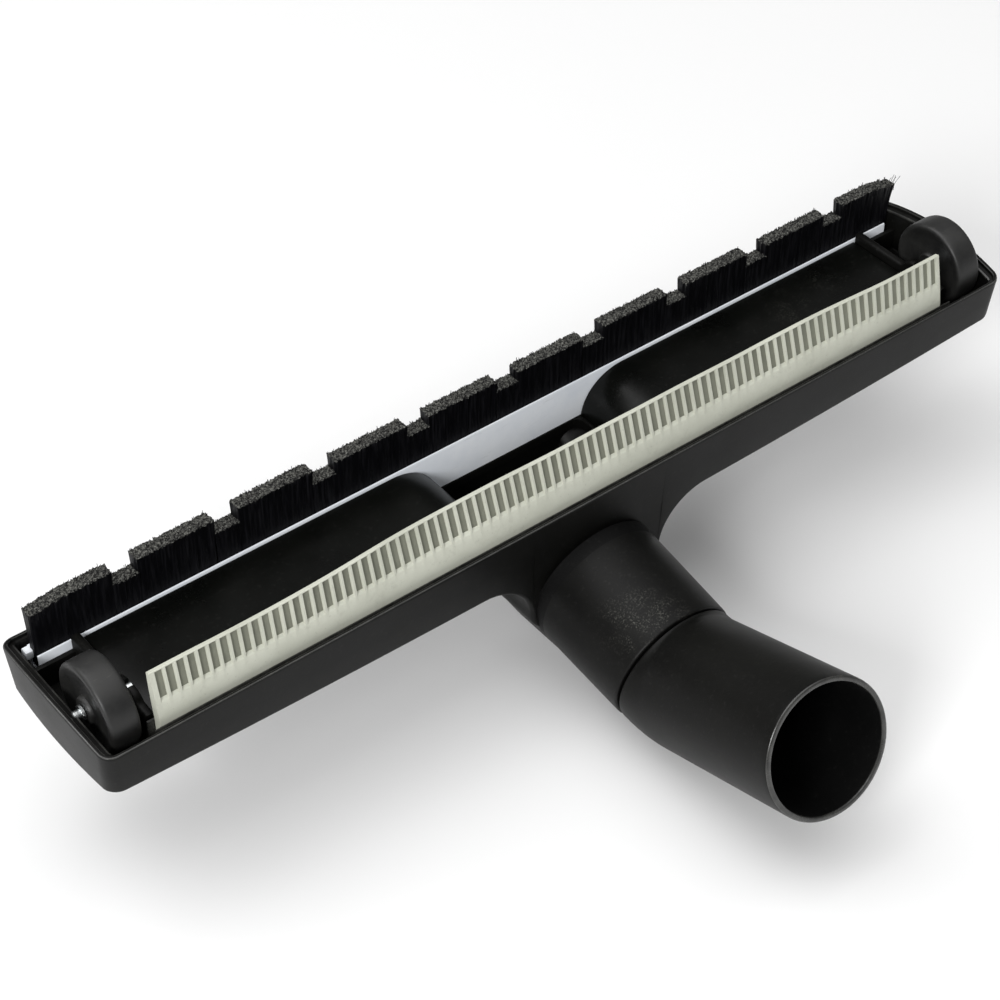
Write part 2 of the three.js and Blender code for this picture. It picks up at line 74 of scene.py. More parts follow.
# ---- materials ----------------------------------------------------------------------------
class Mat:
    """A node material and short ways to add nodes to it."""

    def __init__(self, name):
        self.data = bpy.data.materials.new(name)
        self.data.use_nodes = True
        self.tree = self.data.node_tree
        self.shader = self.tree.nodes["Principled BSDF"]
        self.coords = self.tree.nodes.new("ShaderNodeTexCoord").outputs["Object"]

    def set(self, **values):
        for key, value in values.items():
            self.shader.inputs[key.replace("_", " ")].default_value = value

    def link(self, source, target):
        self.tree.links.new(source, target)

    def node(self, kind, **settings):
        made = self.tree.nodes.new(kind)
        for key, value in settings.items():
            setattr(made, key, value)
        return made

    def stretched(self, x, y, z):
        made = self.node("ShaderNodeMapping")
        made.inputs["Scale"].default_value = (x, y, z)
        self.link(self.coords, made.inputs["Vector"])
        return made.outputs["Vector"]

    def noise(self, scale, detail=3.0, rough=0.5, vector=None, distortion=0.0):
        made = self.node("ShaderNodeTexNoise")
        made.inputs["Scale"].default_value = scale
        made.inputs["Detail"].default_value = detail
        made.inputs["Roughness"].default_value = rough
        made.inputs["Distortion"].default_value = distortion
        self.link(vector or self.coords, made.inputs["Vector"])
        return made.outputs["Fac"]

    def remap(self, value, low, high, to_low=0.0, to_high=1.0):
        made = self.node("ShaderNodeMapRange")
        self.link(value, made.inputs["Value"])
        for key, number in zip(
            ("From Min", "From Max", "To Min", "To Max"), (low, high, to_low, to_high)
        ):
            made.inputs[key].default_value = number
        return made.outputs["Result"]

    def math(self, operation, a, b):
        made = self.node("ShaderNodeMath", operation=operation)
        for socket, value in zip(made.inputs, (a, b)):
            if isinstance(value, (int, float)):
                socket.default_value = value
            else:
                self.link(value, socket)
        return made.outputs["Value"]

    def mix(self, factor, a, b):
        made = self.node("ShaderNodeMix", data_type="RGBA")
        self.link(factor, made.inputs["Factor"])
        for socket, value in zip((made.inputs["A"], made.inputs["B"]), (a, b)):
            if isinstance(value, tuple):
                socket.default_value = (*value, 1.0)
            else:
                self.link(value, socket)
        return made.outputs["Result"]

    def bump(self, height, distance, strength=1.0, under=None):
        made = self.node("ShaderNodeBump")
        made.inputs["Distance"].default_value = distance
        made.inputs["Strength"].default_value = strength
        self.link(height, made.inputs["Height"])
        if under:
            self.link(under, made.inputs["Normal"])
        return made.outputs["Normal"]

    def near(self, centre, radius):
        """1 at a point of the object, falling to 0 at the radius."""
        made = self.node("ShaderNodeVectorMath", operation="DISTANCE")
        self.link(self.coords, made.inputs[0])
        made.inputs[1].default_value = place(centre)
        return self.remap(made.outputs["Value"], 0.0, radius / 1000, 1.0, 0.0)

    def finish(self, color=None, roughness=None, normal=None):
        if color:
            self.link(color, self.shader.inputs["Base Color"])
        if roughness:
            self.link(roughness, self.shader.inputs["Roughness"])
        if normal:
            self.link(normal, self.shader.inputs["Normal"])
        return self.data


def black_plastic(name, dark, light, rough_low, rough_high, grain, scuffs=()):
    """Moulded black plastic with dust and streaks; scuffs are (centre, radius, amount)."""
    m = Mat(name)
    m.set(IOR=1.2, Specular_IOR_Level=0.72)
    cloud = m.noise(38, 5, 0.6)
    dust = m.remap(m.noise(900, 2, 0.5), 0.60, 0.74)
    streak = m.remap(m.noise(60, 4, 0.6, m.stretched(3, 40, 40)), 0.62, 0.80)
    color = m.mix(m.remap(cloud, 0.35, 0.7), dark, light)
    color = m.mix(m.math("MULTIPLY", dust, 0.07), color, (0.07, 0.07, 0.065))
    rough = m.remap(cloud, 0.3, 0.7, rough_low, rough_high)
    rough = m.math("ADD", rough, m.math("MULTIPLY", streak, 0.08))
    for centre, radius, amount in scuffs:
        speck = m.remap(m.noise(1900, 3, 0.7), 0.52, 0.66)
        mask = m.math("MULTIPLY", m.near(centre, radius), speck)
        mask = m.math("MULTIPLY", mask, m.remap(m.noise(180, 3, 0.6), 0.42, 0.58))
        color = m.mix(m.math("MULTIPLY", mask, amount), color, (0.075, 0.075, 0.065))
    fine = m.bump(m.noise(2600, 2, 0.6), 0.00006, grain)
    normal = m.bump(m.noise(260, 4, 0.6), 0.00012, grain * 0.5, fine)
    return m.finish(color, rough, normal)


def painted_edge_highlight():
    """Black plastic painted lighter and less rough, for rounded edges: a painted highlight along
    them.
    """
    m = Mat("black_edge_painted_highlight")
    m.set(IOR=1.47, Specular_IOR_Level=0.8)
    cloud = m.remap(m.noise(240, 4, 0.7), 0.35, 0.65)
    # The lighter colour is a painted highlight line along rounded edges.
    color = m.mix(cloud, (0.006, 0.006, 0.0055), (0.034, 0.034, 0.031))
    rough = m.remap(cloud, 0, 1, 0.34, 0.22)
    return m.finish(color, rough, m.bump(m.noise(900, 3, 0.6), 0.00004, 0.4))


def squeegee_rubber():
    m = Mat("grey_rubber")
    m.set(IOR=1.45)
    cloud = m.remap(m.noise(55, 5, 0.65), 0.3, 0.72)
    color = m.mix(cloud, (0.465, 0.475, 0.40), (0.56, 0.57, 0.49))
    grime = m.remap(m.noise(240, 4, 0.7), 0.58, 0.78)
    color = m.mix(m.math("MULTIPLY", grime, 0.35), color, (0.30, 0.30, 0.25))
    pit = m.remap(m.noise(1900, 2, 0.5), 0.66, 0.76)
    color = m.mix(m.math("MULTIPLY", pit, 0.3), color, (0.2, 0.2, 0.17))
    rough = m.remap(cloud, 0, 1, 0.72, 0.6)
    fine = m.bump(m.noise(1700, 3, 0.6), 0.00008, 0.6)
    return m.finish(color, rough, m.bump(m.noise(220, 3, 0.5), 0.0002, 0.35, fine))


def groove_shade_rubber():
    """The squeegee's rubber painted darker for the floors of its grooves: painted shade in the
    grooves.
    """
    m = Mat("grey_rubber_groove_shade")
    m.set(IOR=1.45, Specular_IOR_Level=0.3)
    cloud = m.remap(m.noise(90, 5, 0.65), 0.3, 0.72)
    # Darker copy of the blade's rubber: painted shade for the groove floors.
    color = m.mix(cloud, (0.165, 0.17, 0.135), (0.22, 0.225, 0.18))
    fine = m.bump(m.noise(1700, 3, 0.6), 0.00008, 0.6)
    return m.finish(color, m.remap(cloud, 0, 1, 0.85, 0.75), fine)


def white_plastic():
    m = Mat("white_plastic")
    m.set(IOR=1.5)
    cloud = m.noise(70, 4, 0.6)
    color = m.mix(m.remap(cloud, 0.35, 0.7), (0.80, 0.84, 0.90), (0.90, 0.93, 0.97))
    mark = m.remap(m.noise(300, 4, 0.7, m.stretched(0.3, 3, 3)), 0.62, 0.78)
    color = m.mix(m.math("MULTIPLY", mark, 0.4), color, (0.35, 0.36, 0.38))
    rough = m.remap(cloud, 0.3, 0.7, 0.32, 0.5)
    return m.finish(color, rough, m.bump(m.noise(1400, 2, 0.5), 0.00005, 0.4))


def bristle_side():
    m = Mat("bristle_side")
    m.set(IOR=1.5, Specular_IOR_Level=0.16)
    strand = m.noise(1500, 3, 0.6, m.stretched(1, 1, 0.05))
    tone = m.remap(strand, 0.48, 0.72)
    color = m.mix(tone, (0.0012, 0.0012, 0.0020), (0.0085, 0.0085, 0.0105))
    return m.finish(color, m.remap(tone, 0, 1, 0.5, 0.65), m.bump(strand, 0.0002, 0.8))


def bristle_tip():
    m = Mat("bristle_tip")
    m.set(IOR=1.5, Specular_IOR_Level=0.3)
    grain = m.noise(1700, 3, 0.8)
    color = m.mix(m.remap(grain, 0.46, 0.64), (0.0025, 0.0025, 0.0025), (0.15, 0.15, 0.135))
    return m.finish(color, m.remap(grain, 0, 1, 0.9, 0.7), m.bump(grain, 0.0003, 0.9))


def wheel_rubber():
    m = Mat("wheel_rubber")
    m.set(IOR=1.5, Specular_IOR_Level=0.5)
    cloud = m.noise(120, 5, 0.65)
    color = m.mix(m.remap(cloud, 0.35, 0.68), (0.006, 0.006, 0.006), (0.014, 0.014, 0.013))
    scratch = m.remap(m.noise(500, 4, 0.8, m.stretched(0.25, 2, 2)), 0.64, 0.78)
    color = m.mix(m.math("MULTIPLY", scratch, 0.4), color, (0.11, 0.11, 0.10))
    rough = m.remap(cloud, 0.3, 0.7, 0.40, 0.56)
    return m.finish(color, rough, m.bump(m.noise(700, 4, 0.6), 0.00008, 0.5))


def zinc_steel():
    m = Mat("zinc_steel")
    m.set(Metallic=1.0)
    cloud = m.noise(700, 4, 0.6)
    color = m.mix(m.remap(cloud, 0.3, 0.7), (0.50, 0.53, 0.54), (0.80, 0.82, 0.82))
    turned = m.noise(2500, 2, 0.5, m.stretched(1, 0.1, 0.1))
    return m.finish(color, m.remap(cloud, 0.3, 0.7, 0.18, 0.34), m.bump(turned, 0.00004, 0.6))


SATIN_LOOK = ((0.0022, 0.0022, 0.0020), (0.0048, 0.0048, 0.0042), 0.40, 0.50, 0.35)
NECK_SCUFFS = [((-9, -51, -21), 12, 1.0), ((-3, -55, -20), 9, 0.9)]
PLATE_SCUFFS = [((95, 2, -3), 14, 0.3), ((110, 8, -3), 8, 0.3)]
SATIN = black_plastic("satin_black", *SATIN_LOOK)
NECK = black_plastic("satin_black_neck", *SATIN_LOOK, scuffs=NECK_SCUFFS)
# Painted highlight material for rounded edges and lips.
EDGE_HIGHLIGHT = painted_edge_highlight()
INSIDE = black_plastic(
    "shaded_bore", (0.0008, 0.0008, 0.0008), (0.0018, 0.0018, 0.0018), 0.55, 0.65, 0.3
)
GLOSS = black_plastic(
    "gloss_black", (0.0016, 0.0018, 0.0015), (0.0034, 0.0036, 0.0030), 0.24, 0.36, 0.2, PLATE_SCUFFS
)
RUBBER = squeegee_rubber()
GROOVE_SHADE = groove_shade_rubber()
WHITE = white_plastic()
SIDE = bristle_side()
TIP = bristle_tip()
TYRE = wheel_rubber()
ZINC = zinc_steel()


# ---- mesh helpers -------------------------------------------------------------------------
class Shape:
    """Points and faces being gathered for one piece."""

    def __init__(self):
        self.points = []
        self.faces = []
        self.slots = []
        self.placed = False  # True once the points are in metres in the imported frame.

    def add(self, points, faces, slot=0):
        base = len(self.points)
        self.points.extend(tuple(p) for p in points)
        self.faces.extend([base + i for i in f] for f in faces)
        self.slots.extend([slot] * len(faces))

    def loft(self, loops, closed=True, cap_first=False, cap_last=False, slot=0):
        """Faces between successive loops of the same length."""
        n = len(loops[0])
        faces = []
        last = n if closed else n - 1
        for k in range(len(loops) - 1):
            for i in range(last):
                j = (i + 1) % n
                faces.append((k * n + i, k * n + j, (k + 1) * n + j, (k + 1) * n + i))
        if cap_first:
            faces.append(tuple(reversed(range(n))))
        if cap_last:
            faces.append(tuple((len(loops) - 1) * n + i for i in range(n)))
        self.add([p for loop in loops for p in loop], faces, slot)

    def fill(self, outline):
        """Triangles that close an outline."""
        self.add(outline, tessellate_polygon([[Vector(p) for p in outline]]))

    def mesh(self, name, materials=()):
        """A welded mesh whose faces all look outwards."""
        mesh = bpy.data.meshes.new(name)
        points = self.points if self.placed else [place(p) for p in self.points]
        mesh.from_pydata(points, [], self.faces)
        for material in materials:
            mesh.materials.append(material)
        mesh.polygons.foreach_set("material_index", self.slots)
        mesh.polygons.foreach_set("use_smooth", [True] * len(self.faces))
        mesh.update()
        work = bmesh.new()
        work.from_mesh(mesh)
        bmesh.ops.remove_doubles(work, verts=work.verts, dist=1e-7)
        bmesh.ops.recalc_face_normals(work, faces=work.faces)
        work.to_mesh(mesh)
        work.free()
        return mesh

    def piece(self, name, materials, body, node, slot, smooth=38):
        """The finished object, standing for a CAD node; smooth is in degrees."""
        mesh = self.mesh(name, materials)
        mesh.set_sharp_from_angle(angle=math.radians(smooth))
        made = bpy.data.objects.new(name, mesh)
        bpy.context.scene.collection.objects.link(made)
        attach(made, body)
        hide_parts(node)
        return made


def arc(cx, cy, radius, start, end, steps):
    """Points of an arc, both ends included; angles in degrees."""
    made = []
    for i in range(steps + 1):
        a = math.radians(start + (end - start) * i / steps)
        made.append((cx + radius * math.cos(a), cy + radius * math.sin(a)))
    return made


def rounded_rect(x0, x1, y0, y1, radius, steps=6):
    """The outline of a rectangle with rounded corners."""
    made = arc(x1 - radius, y0 + radius, radius, -90, 0, steps)
    made += arc(x1 - radius, y1 - radius, radius, 0, 90, steps)
    made += arc(x0 + radius, y1 - radius, radius, 90, 180, steps)
    made += arc(x0 + radius, y0 + radius, radius, 180, 270, steps)
    return made


def bezier(a, b, c, d, steps):
    """Points of a cubic curve from a to d, both included."""
    made = []
    for i in range(steps + 1):
        t = i / steps
        s = 1 - t
        made.append(
            tuple(
                s * s * s * p + 3 * s * s * t * q + 3 * s * t * t * r + t * t * t * w
                for p, q, r, w in zip(a, b, c, d)
            )
        )
    return made


# ---- housing ------------------------------------------------------------------------------
END_STEPS = 24
CORNER_STEPS = 8
STRAIGHT_STEPS = 20
BOW = 0.9
END_RISE = 3.0
# The tray's back: its height in the middle, its rise at the ends, and the skin over it.
BACK = -17.8
CROWN_RISE = 4.0
SKIN = 2.5
DRAFT_Y = 1.5
DRAFT_X = 0.9
# The throat's opening in the tray's floor: x from, x to, y from, y to.
MOUTH = (-22.0, 27.0, -17.5, 16.5)
# The hump's section: half widths and heights above its crown at the shoulder and the foot.
HUMP_MIDDLE = 1.0
HUMP_HALF = 22.3
SHOULDER_HALF, SHOULDER_UP = 18.6, 16.3
FOOT_HALF, FOOT_UP = 11.2, 3.1
FLARE_BEND = 3.4
FILLET = 15.5
CROWN_HALF = 6.5
CROWN_FAR = -4.0
HUMP_FAR = 20.5
HUMP_DEPTH = 38.7
HUMP_WALL = 2.2


def back(x):
    """Height of the tray's crowned back."""
    return BACK + CROWN_RISE * (x / HALF_X) ** 2


def hull_side(inset):
    """The right half of the hump's section, from the crown up to its flare."""
    low = -RIM
    flare = BACK - FILLET
    side = (SHOULDER_HALF - inset, low + SHOULDER_UP)
    foot = (FOOT_HALF - inset, low + FOOT_UP + inset)
    slope = (SHOULDER_HALF - FOOT_HALF) / (SHOULDER_UP - FOOT_UP)
    bend = (side[0] + FLARE_BEND * slope, side[1] + FLARE_BEND)
    half = HUMP_HALF - inset
    made = [(CROWN_HALF * f, low + inset) for f in (0.35, 0.7, 1.0)]
    knee = (foot[0] - FOOT_UP * slope, low + inset)
    made += bezier(made[-1], knee, knee, foot, 6)[1:]
    made += [tuple(foot[i] + (side[i] - foot[i]) * f for i in (0, 1)) for f in (0.33, 0.66, 1.0)]
    made += bezier(side, bend, (half, flare - FLARE_BEND), (half + 0.05, flare + 0.6), 8)[1:]
    angle = math.degrees(math.asin(0.6 / (FILLET + inset)))
    made += arc(HUMP_HALF + FILLET, flare, FILLET + inset, 180 - angle, 90, 16)[1:]
    return made


def lower_outline(inset, reach, hump=1.0):
    """The head's lower outline in (x, z) from left to right; the hump can be flattened."""
    side = [(px + HUMP_MIDDLE, pz) for px, pz in hull_side(inset)]
    other = [(HUMP_MIDDLE - px, pz) for px, pz in reversed(hull_side(inset))]
    middle = other + side
    left, right = middle[0][0], middle[-1][0]
    made = []
    for i in range(STRAIGHT_STEPS):
        x = -reach + (left + reach) * i / STRAIGHT_STEPS
        made.append((x, back(x) + inset))
    for x, z in middle:
        level = back(x) + inset
        blend = smoothstep(FILLET, FILLET + 7, abs(x - HUMP_MIDDLE) - HUMP_HALF + 7)
        z += (level - BACK - inset) * blend
        made.append((x, level + (z - level) * hump))
    for i in range(STRAIGHT_STEPS):
        x = reach + (right - reach) * (STRAIGHT_STEPS - 1 - i) / STRAIGHT_STEPS
        made.append((x, back(x) + inset))
    return made


def drafted(x, y, z):
    """A point of the outside, drawn in by the draft of the walls."""
    share = min(-z, -BACK) / -BACK
    return (x * (1 - DRAFT_X * share / HALF_X), y * (1 - DRAFT_Y * share / HALF_Y), z)


def head_loop(inset, end_inset, corner, share, lift, arch=0.0, outer=True):
    """A closed loop round the head.

    inset and end_inset are from the long walls and the end walls, share 0 is the rim's level and 1
    the lower outline's, and arch lifts the end walls' middles.
    """
    x_end = HALF_X - end_inset
    y_side = HALF_Y - inset
    straight = x_end - corner
    level = lift if share == 1 else 0
    near = lower_outline(level, straight, 1.0 if outer else 0.0)
    far = lower_outline(level, straight, 0.0)
    extra = 0 if share == 1 else lift
    flat = [(px, -y_side, share * pz + extra) for px, pz in near]

    def around(points):
        return [(px, py, share * (back(px) + level) + extra) for px, py in points]

    flat += around(arc(straight, -y_side + corner, corner, -90, 0, CORNER_STEPS)[1:])
    end = []
    for i in range(1, END_STEPS):
        v = 2 * i / END_STEPS - 1
        end.append((x_end + BOW * (1 - v * v), v * (y_side - corner)))
    flat += around(end)
    flat += around(arc(straight, y_side - corner, corner, 0, 90, CORNER_STEPS)[:-1])
    flat += [(px, y_side, share * pz + extra) for px, pz in reversed(far)]
    flat += around(arc(-straight, y_side - corner, corner, 90, 180, CORNER_STEPS)[1:])
    flat += around([(-px, -py) for px, py in end])
    flat += around(arc(-straight, -y_side + corner, corner, 180, 270, CORNER_STEPS)[:-1])
    loop = []
    for px, py, pz in flat:
        bulge = END_RISE * (1 - (py / HALF_Y) ** 2)
        rise = arch * bulge * smoothstep(144.8, 147.2, abs(px))
        loop.append(drafted(px, py, pz + rise) if outer else (px, py, pz + rise))
    return loop


# Loops of the outside and the inside: inset, end inset, corner radius, share, lift, arch.
OUTER_ROWS = [
    (1.30, 1.30, 3.6, 1.0, 0.00, 0.0),
    (0.80, 0.80, 3.9, 1.0, 0.05, 0.0),
    (0.38, 0.38, 4.2, 1.0, 0.22, 0.0),
    (0.10, 0.10, 4.4, 1.0, 0.55, 0.0),
    (0.00, 0.00, 4.5, 1.0, 1.10, 0.0),
    (0.00, 0.00, 4.2, 0.5, 0.00, 0.5),
    (0.00, 0.00, 3.8, 0.0, -1.00, 1.0),
    (0.02, 0.02, 3.7, 0.0, -0.50, 1.0),
    (0.09, 0.09, 3.6, 0.0, -0.22, 1.0),
    (0.22, 0.22, 3.5, 0.0, -0.06, 1.0),
    (0.45, 0.45, 3.3, 0.0, 0.00, 1.0),
]
INNER_ROWS = [
    (0.85, 1.05, 2.8, 0.0, 0.00, 1.0),
    (1.00, 1.22, 2.7, 0.0, -0.06, 1.0),
    (1.07, 1.30, 2.6, 0.0, -0.20, 1.0),
    (1.10, 1.34, 2.6, 0.0, -0.55, 1.0),
    (1.12, 1.38, 2.5, 0.0, -0.95, 1.0),
    (1.55, 2.60, 1.7, 0.0, -1.05, 1.0),
    (1.80, 3.05, 1.5, 0.0, -1.20, 1.0),
    (1.88, 3.18, 1.5, 0.0, -1.50, 1.0),
    (1.90, 3.24, 1.5, 0.0, -2.10, 1.0),
    (2.00, 3.34, 1.5, 0.5, 0.00, 0.5),
    (2.10, 3.44, 1.5, 1.0, SKIN + 0.8, 0.0),
    (2.20, 3.54, 1.5, 1.0, SKIN + 0.25, 0.0),
    (2.60, 3.94, 1.3, 1.0, SKIN, 0.0),
]


def hump_share(y, inset=0.0):
    """How deep the hump still is at y, as a share of its full depth."""
    end = HUMP_FAR - inset
    fall = (end - 0.1, 35.5)
    side = bezier((CROWN_FAR, 0), (8, 0), (end - 0.6, 17), fall, 40)
    side += bezier(fall, (end, 37.5), (end + 0.6, 38.6), (end + 2.2, HUMP_DEPTH), 6)[1:]
    ys = [p[0] for p in side]
    zs = [1 - p[1] / HUMP_DEPTH for p in side]
    return float(np.interp(y, ys, zs))


def close_across(s, loop, stations=()):
    """Close a loop round the head with rows of points that run from its near to its far side."""
    columns = len(lower_outline(0, 140))
    turn = CORNER_STEPS * 2 + END_STEPS - 1
    near = loop[:columns]
    far = loop[columns + turn : 2 * columns + turn][::-1]
    rows = [near]
    for y in stations:
        share = hump_share(y)
        row = []
        for (nx, _, nz), (_, _, fz) in zip(near, far):
            row.append((nx, y, fz + (nz - fz) * share))
        rows.append(row)
    rows.append(far)
    s.loft(rows, closed=False)
    right_end = loop[columns - 1 : columns + turn + 1]
    left_end = loop[2 * columns + turn - 1 :] + [loop[0]]
    s.fill(right_end + [row[-1] for row in reversed(rows[1:-1])])
    s.fill(left_end + [row[0] for row in rows[1:-1]])


def tray_and_hump():
    """The housing as one closed skin, before anything is cut into it."""
    s = Shape()
    loops = [head_loop(*row) for row in OUTER_ROWS]
    loops += [head_loop(*row, outer=False) for row in INNER_ROWS]
    s.loft(loops)
    stations = [-21.5, -18, -14, -9, CROWN_FAR]
    stations += [CROWN_FAR + (HUMP_FAR - 2 - CROWN_FAR) * i / 12 for i in range(1, 13)]
    stations += [19.0, 19.5, 19.9, 20.3, 20.7, 21.2, 21.9]
    close_across(s, loops[0], stations)
    close_across(s, loops[-1])
    return s


def hump_hollow():
    """The space inside the hump, under the tray's back."""
    s = Shape()
    loops = []
    near = -HALF_Y + DRAFT_Y + HUMP_WALL
    stations = [near, -18, -12, CROWN_FAR]
    stations += [CROWN_FAR + (17.5 - CROWN_FAR) * i / 10 for i in range(1, 11)]
    for y in stations:
        share = hump_share(y, HUMP_WALL)
        half = hull_side(HUMP_WALL)
        section = [(HUMP_MIDDLE - px, pz) for px, pz in reversed(half)]
        section += [(HUMP_MIDDLE + px, pz) for px, pz in half]
        section = [(px, pz) for px, pz in section if abs(px - HUMP_MIDDLE) < 27]
        top = BACK - 0.05
        loop = [(px, y, top + (min(pz, top - 0.01) - top) * share) for px, pz in section]
        loop += [(section[-1][0], y, top), (section[0][0], y, top)]
        loops.append(loop)
    s.loft(loops, cap_first=True, cap_last=True)
    return s


def prism(ring, low, high):
    """An outline raised from one height to another."""
    s = Shape()
    s.loft(
        [[(px, py, z) for px, py in ring] for z in (low, high)], cap_first=True, cap_last=True
    )
    return s


def joined(base, others, operation):
    """The base's mesh after cutting with, or adding, the other shapes."""
    scene = bpy.context.scene
    holder = bpy.data.objects.new("carving", base.mesh("carving"))
    scene.collection.objects.link(holder)
    tools = []
    for i, other in enumerate(others):
        tool = bpy.data.objects.new(f"tool_{i}", other.mesh(f"tool_{i}"))
        scene.collection.objects.link(tool)
        tools.append(tool)
        step = holder.modifiers.new(f"step_{i}", "BOOLEAN")
        step.object = tool
        step.operation = operation
        step.solver = "EXACT"
    graph = bpy.context.evaluated_depsgraph_get()
    result = bpy.data.meshes.new_from_object(holder.evaluated_get(graph))
    made = Shape()
    made.points = [tuple(v.co) for v in result.vertices]
    made.faces = [list(f.vertices) for f in result.polygons]
    made.slots = [0] * len(made.faces)
    made.placed = True
    for spare in [holder, *tools]:
        mesh = spare.data
        bpy.data.objects.remove(spare)
        bpy.data.meshes.remove(mesh)
    bpy.data.meshes.remove(result)
    return made


def partition(side):
    """The wall beside a wheel well, with a boss and an open slot for the pin."""
    y0, z0 = WHEEL[1], WHEEL[2]
    low, high = y0 - 5.2, y0 + 5.2

    def boss(start):
        turns = [math.radians(start - 45 * i / 8) for i in range(9)]
        return [(y0 + 5.2 * math.cos(a), 3.1 * math.sin(a)) for a in turns]

    profile = [(-18.0, -0.2), (low - 1.4, -0.2), (low - 0.5, 0.1)] + boss(165)
    profile += [(y0 - 1.52, 2.8), (y0 - 1.48, z0)]
    for angle in (30, 60, 90, 120, 150):
        a = math.radians(angle)
        profile.append((y0 - 1.5 * math.cos(a), z0 - 1.5 * math.sin(a)))
    profile += [(y0 + 1.48, z0), (y0 + 1.52, 2.8)] + boss(60)
    profile += [(high + 0.5, 0.1), (high + 1.4, -0.2), (16.4, -0.2)]
    s = Shape()
    rows = []
    steps = [(131.8, None), (131.8, 1.0), (131.95, 0.5), (132.3, 0.15), (132.8, 0.0)]
    steps += [(133.5, 0.0), (134.0, 0.15), (134.35, 0.5), (134.5, 1.0), (134.5, None)]
    for px, drop in steps:
        if drop is None:
            rows.append([(side * px, y, BACK + 4.0) for y, _ in profile])
        else:
            rows.append([(side * px, y, z - drop) for y, z in profile])
    s.loft([list(loop) for loop in zip(*rows)], cap_first=True, cap_last=True)
    return s


def small_box(x0, x1, y0, y1, z0, z1, r):
    s = Shape()
    add_box(s, x0, x1, y0, y1, z0, z1, r)
    return s


def build_housing():
    cuts = [prism(rounded_rect(*MOUTH, 2.5), BACK - 0.6, BACK + 6), hump_hollow()]
    for side in (-1, 1):
        x0, x1 = sorted((side * 135.9, side * 145.7))
        ring = rounded_rect(x0, x1, WHEEL[1] - 7, WHEEL[1] + 7, 0.8, 3)
        cuts.append(prism(ring, -12.9, -5))
    bore = Shape()
    loops = []
    for inwards in (27.0, 37.5):
        origin, across, upright = neck_frame(inwards)
        loops.append(ring_at(origin, across, upright, 17.1, 72))
    bore.loft(loops, cap_first=True, cap_last=True)
    cuts.append(bore)
    skin = joined(tray_and_hump(), cuts, "DIFFERENCE")
    extras = []
    for side in (-1, 1):
        extras.append(partition(side))
        x0, x1 = sorted((side * 133.5, side * 147.4))
        extras.append(small_box(x0, x1, 15.1, 16.5, -12.6, -4.5, 0.25))
    extras.append(small_box(131.9, 134.3, -23.9, -17.5, -13.5, -5.5, 0.3))
    whole = joined(skin, extras, "UNION")
    mark_edges(whole)
    return whole.piece("housing_moulding", [SATIN, EDGE_HIGHLIGHT], "head", "housing", "satin_black", 32)


def mark_edges(s):
    """Give the rounded edges along the rim the lighter edge material, a painted highlight along the
    rim.
    """
    for i, face in enumerate(s.faces):
        spots = [Vector(s.points[k]) for k in face]
        middle = sum(spots, Vector()) / len(spots)
        slope = abs(face_direction(spots, middle).z)
        outer = abs(middle.x) > 0.1455 or abs(middle.y - HEAD_Y / 1000) > 0.0232
        if outer and middle.z > (RIM - 0.6) / 1000 and 0.3 < slope < 0.97:
            s.slots[i] = 1


def face_direction(spots, middle):
    """The way a face looks, from its corners and its middle."""
    normal = Vector()
    for here, after in zip(spots, spots[1:] + spots[:1]):
        normal += (here - middle).cross(after - middle)
    return normal.normalized()


def add_box(s, x0, x1, y0, y1, z0, z1, r):
    """A box with its edges rounded by r, as stacked loops."""
    loops = []
    levels = [(z0, r), (z0 + r * 0.3, r * 0.3), (z0 + r, 0)]
    levels += [(z1 - r, 0), (z1 - r * 0.3, r * 0.3), (z1, r)]
    for z, inset in levels:
        ring = rounded_rect(x0 + inset, x1 - inset, y0 + inset, y1 - inset, max(r, 0.02), 3)
        loops.append([(px, py, z) for px, py in ring])
    s.loft(loops, cap_first=True, cap_last=True)


# ---- neck and elbow -----------------------------------------------------------------------
def neck_frame(inwards):
    """A point on the neck's axis, with its sideways and upright directions."""
    along = Vector((0, math.cos(DIP), math.sin(DIP)))
    upright = Vector((0, -math.sin(DIP), math.cos(DIP)))
    origin = Vector((0, LIP_Y, LIP_Z)) + along * inwards
    return origin, Vector((1, 0, 0)), upright


def turned(origin, side, upright, radius, a):
    """The point of a circle at the angle a."""
    return tuple(origin + side * (radius * math.cos(a)) + upright * (radius * math.sin(a)))


def ring_at(origin, side, upright, radius, steps):
    turns = [2 * math.pi * i / steps for i in range(steps)]
    return [turned(origin, side, upright, radius, a) for a in turns]


def close_loft(s, loops):
    """A ring of loops whose last meets its first."""
    s.loft(loops + [loops[0]])


TUBE_STEPS = 96
# The neck's section as (radius, distance inwards from its lip), on its bore and inner end and
# then on its outside and lip.
NECK_INSIDE = [(17.0, 1.0), (17.0, 18.0), (15.0, 20.0), (15.0, 36.4)]
NECK_INSIDE += [(15.2, 36.8), (16.8, 36.5), (16.8, 34.2), (19.8, 34.0)]
NECK_OUTSIDE = [(19.75, 30.0), (19.5, 16.0), (19.25, 3.0), (19.2, 0.8), (19.15, 0.35)]
NECK_OUTSIDE += [(18.95, 0.1), (18.6, 0.0), (17.6, 0.0), (17.3, 0.15), (17.15, 0.5)]


def build_neck():
    s = Shape()
    loops = []
    for radius, inwards in NECK_INSIDE + NECK_OUTSIDE:
        loops.append(ring_at(*neck_frame(inwards), radius, TUBE_STEPS))
    close_loft(s, loops)
    for i in range(len(NECK_INSIDE) * TUBE_STEPS):
        s.slots[i] = 1
    return s.piece("neck_moulding", [NECK, INSIDE], "head", "neck_tube", "satin_black")


BEND = math.radians(30.4)
BEND_RADIUS = 21.0
BEND_LENGTH = BEND * BEND_RADIUS
SHOULDER = 0.6
STRAIGHT = 51.2
TURN = math.radians(-4.6)


